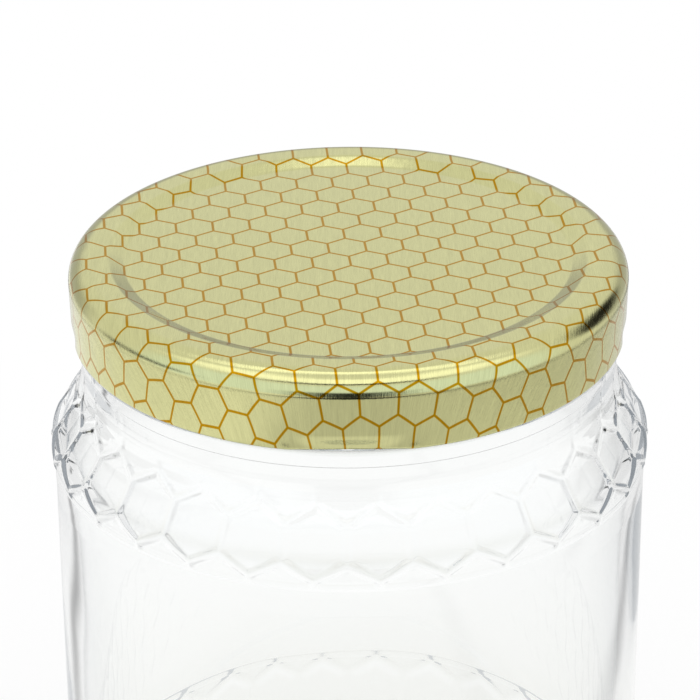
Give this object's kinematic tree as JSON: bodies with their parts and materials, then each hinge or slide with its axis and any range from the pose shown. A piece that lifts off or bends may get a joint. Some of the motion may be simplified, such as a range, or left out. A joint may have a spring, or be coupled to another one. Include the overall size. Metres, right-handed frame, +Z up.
{
  "type": "round glass honey jar with honeycomb relief and screw lid",
  "caption": "Round clear glass honey jar with raised honeycomb bands at shoulder and base, closed by a pale gold metal lug lid with a honeycomb print",
  "frame": {"origin": "middle of the jar's foot, on the plane it stands on", "axes": "+Z up along the jar's axis, -Y the front shown in the picture, +X to the right"},
  "size_m": [0.0926, 0.0926, 0.137],
  "materials": {
    "clear_glass": "clear polished flint glass",
    "gold_lacquer": "pale gold lacquer over rolled tinplate, satin, with a thin orange-brown hexagon print"
  },
  "bodies": {
    "root": {"jar": "clear_glass", "lid": "gold_lacquer"}
  },
  "joints": []
}
